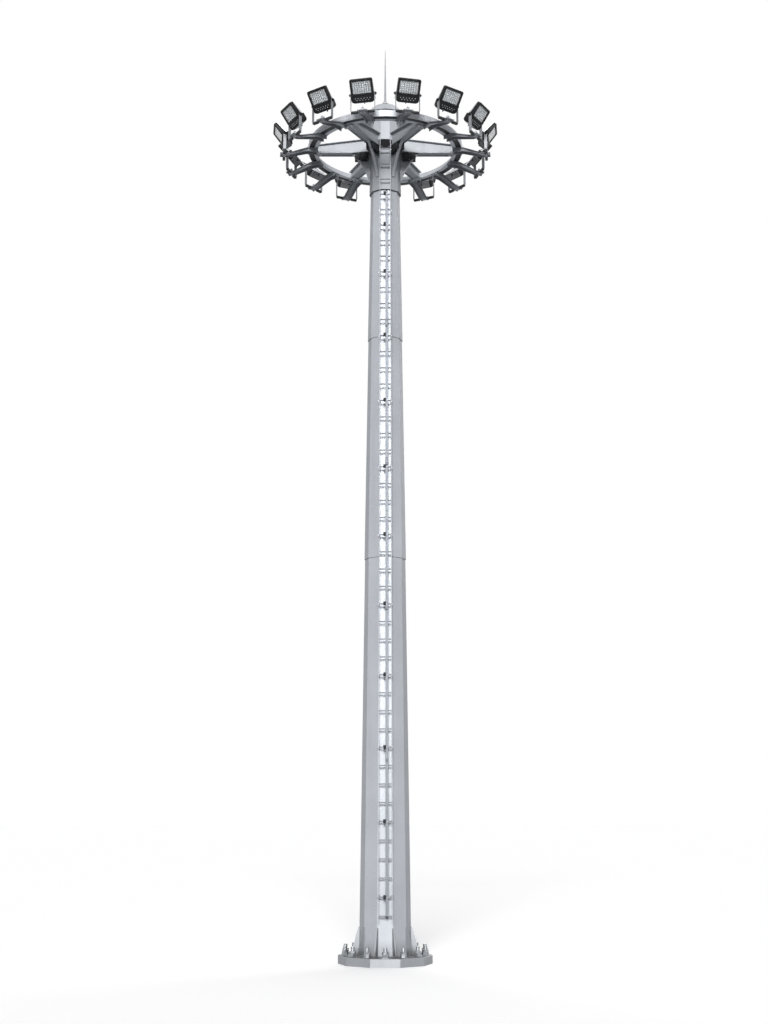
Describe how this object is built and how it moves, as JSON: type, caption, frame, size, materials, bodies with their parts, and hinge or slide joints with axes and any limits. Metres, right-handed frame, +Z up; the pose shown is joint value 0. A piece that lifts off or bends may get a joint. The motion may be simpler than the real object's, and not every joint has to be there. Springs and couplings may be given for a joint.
{
  "type": "high mast floodlight tower",
  "caption": "Tapered polygonal steel mast on a bolted flange, with a ladder and a fixed head ring of tilting floodlights on yokes under a cap and lightning rod.",
  "frame": {"origin": "centre of the underside of the base flange, on the mast axis", "axes": "+Z up along the mast, -Y towards the ladder side, which is the front, +X to the right seen from the front"},
  "size_m": [4.6312, 4.6058, 18.316],
  "materials": {
    "galvanised_plate": "hot-dip galvanised, matt with soft spangle",
    "galvanised_heavy": "hot-dip galvanised thick plate",
    "galvanised_frame": "hot-dip galvanised rolled sections",
    "anchor_steel": "galvanised studs, nuts and washers",
    "ladder_steel": "bright galvanised bars",
    "safety_rail_steel": "darker galvanised C rail",
    "clamp_paint": "dark painted clamps",
    "box_paint": "dark painted junction boxes",
    "yoke_steel": "light grey satin brackets",
    "rod_metal": "satin rod",
    "housing_paint": "die-cast body with charcoal powder coat",
    "lens_glass": "clear tempered glass over the light panel"
  },
  "bodies": {
    "mast": {"shaft_lower": "galvanised_plate", "shaft_middle": "galvanised_plate", "shaft_upper": "galvanised_plate", "head_collar": "galvanised_plate", "head_drum": "galvanised_plate", "cap_dome": "galvanised_plate", "base_flange": "galvanised_heavy", "base_gussets": "galvanised_heavy", "ring_segment_1": "galvanised_frame", "ring_segment_2": "galvanised_frame", "ring_segment_3": "galvanised_frame", "ring_segment_4": "galvanised_frame", "ring_segment_5": "galvanised_frame", "ring_segment_6": "galvanised_frame", "head_arms": "galvanised_frame", "arm_knees": "galvanised_frame", "outriggers": "galvanised_frame", "junction_boxes": "box_paint", "anchor_studs": "anchor_steel", "anchor_nuts": "anchor_steel", "ladder_rails": "ladder_steel", "ladder_rungs": "ladder_steel", "ladder_standoffs": "ladder_steel", "safety_rail": "safety_rail_steel", "safety_clamps": "clamp_paint", "yokes": "yoke_steel", "lightning_rod": "rod_metal"},
    "head_01": {"floodlight_01": "housing_paint", "lens_01": "lens_glass"},
    "head_02": {"floodlight_02": "housing_paint", "lens_02": "lens_glass"},
    "head_03": {"floodlight_03": "housing_paint", "lens_03": "lens_glass"},
    "head_04": {"floodlight_04": "housing_paint", "lens_04": "lens_glass"},
    "head_05": {"floodlight_05": "housing_paint", "lens_05": "lens_glass"},
    "head_06": {"floodlight_06": "housing_paint", "lens_06": "lens_glass"},
    "head_07": {"floodlight_07": "housing_paint", "lens_07": "lens_glass"},
    "head_08": {"floodlight_08": "housing_paint", "lens_08": "lens_glass"},
    "head_09": {"floodlight_09": "housing_paint", "lens_09": "lens_glass"},
    "head_10": {"floodlight_10": "housing_paint", "lens_10": "lens_glass"},
    "head_11": {"floodlight_11": "housing_paint", "lens_11": "lens_glass"},
    "head_12": {"floodlight_12": "housing_paint", "lens_12": "lens_glass"},
    "head_13": {"floodlight_13": "housing_paint", "lens_13": "lens_glass"},
    "head_14": {"floodlight_14": "housing_paint", "lens_14": "lens_glass"},
    "head_15": {"floodlight_15": "housing_paint", "lens_15": "lens_glass"}
  },
  "joints": [
    {"name": "tilt_01", "type": "hinge", "parent": "mast", "child": "head_01", "pos_m": [0.43142, -2.02966, 16.22], "axis": [-0.9781, -0.2079, 0], "range_deg": [-50, 40]},
    {"name": "tilt_02", "type": "hinge", "parent": "mast", "child": "head_02", "pos_m": [1.21965, -1.67871, 16.22], "axis": [-0.809, -0.5878, 0], "range_deg": [-50, 40]},
    {"name": "tilt_03", "type": "hinge", "parent": "mast", "child": "head_03", "pos_m": [1.797, -1.0375, 16.22], "axis": [-0.5, -0.866, 0], "range_deg": [-50, 40]},
    {"name": "tilt_04", "type": "hinge", "parent": "mast", "child": "head_04", "pos_m": [2.06363, -0.2169, 16.22], "axis": [-0.1045, -0.9945, 0], "range_deg": [-50, 40]},
    {"name": "tilt_05", "type": "hinge", "parent": "mast", "child": "head_05", "pos_m": [1.97344, 0.64121, 16.22], "axis": [0.309, -0.9511, 0], "range_deg": [-50, 40]},
    {"name": "tilt_06", "type": "hinge", "parent": "mast", "child": "head_06", "pos_m": [1.54203, 1.38845, 16.22], "axis": [0.6691, -0.7431, 0], "range_deg": [-50, 40]},
    {"name": "tilt_07", "type": "hinge", "parent": "mast", "child": "head_07", "pos_m": [0.84398, 1.89561, 16.22], "axis": [0.9135, -0.4067, 0], "range_deg": [-50, 40]},
    {"name": "tilt_08", "type": "hinge", "parent": "mast", "child": "head_08", "pos_m": [0, 2.075, 16.22], "axis": [1, 0, 0], "range_deg": [-50, 40]},
    {"name": "tilt_09", "type": "hinge", "parent": "mast", "child": "head_09", "pos_m": [-0.84398, 1.89561, 16.22], "axis": [0.9135, 0.4067, 0], "range_deg": [-50, 40]},
    {"name": "tilt_10", "type": "hinge", "parent": "mast", "child": "head_10", "pos_m": [-1.54203, 1.38845, 16.22], "axis": [0.6691, 0.7431, 0], "range_deg": [-50, 40]},
    {"name": "tilt_11", "type": "hinge", "parent": "mast", "child": "head_11", "pos_m": [-1.97344, 0.64121, 16.22], "axis": [0.309, 0.9511, 0], "range_deg": [-50, 40]},
    {"name": "tilt_12", "type": "hinge", "parent": "mast", "child": "head_12", "pos_m": [-2.06363, -0.2169, 16.22], "axis": [-0.1045, 0.9945, 0], "range_deg": [-50, 40]},
    {"name": "tilt_13", "type": "hinge", "parent": "mast", "child": "head_13", "pos_m": [-1.797, -1.0375, 16.22], "axis": [-0.5, 0.866, 0], "range_deg": [-50, 40]},
    {"name": "tilt_14", "type": "hinge", "parent": "mast", "child": "head_14", "pos_m": [-1.21965, -1.67871, 16.22], "axis": [-0.809, 0.5878, 0], "range_deg": [-50, 40]},
    {"name": "tilt_15", "type": "hinge", "parent": "mast", "child": "head_15", "pos_m": [-0.43142, -2.02966, 16.22], "axis": [-0.9781, 0.2079, 0], "range_deg": [-50, 40]}
  ]
}
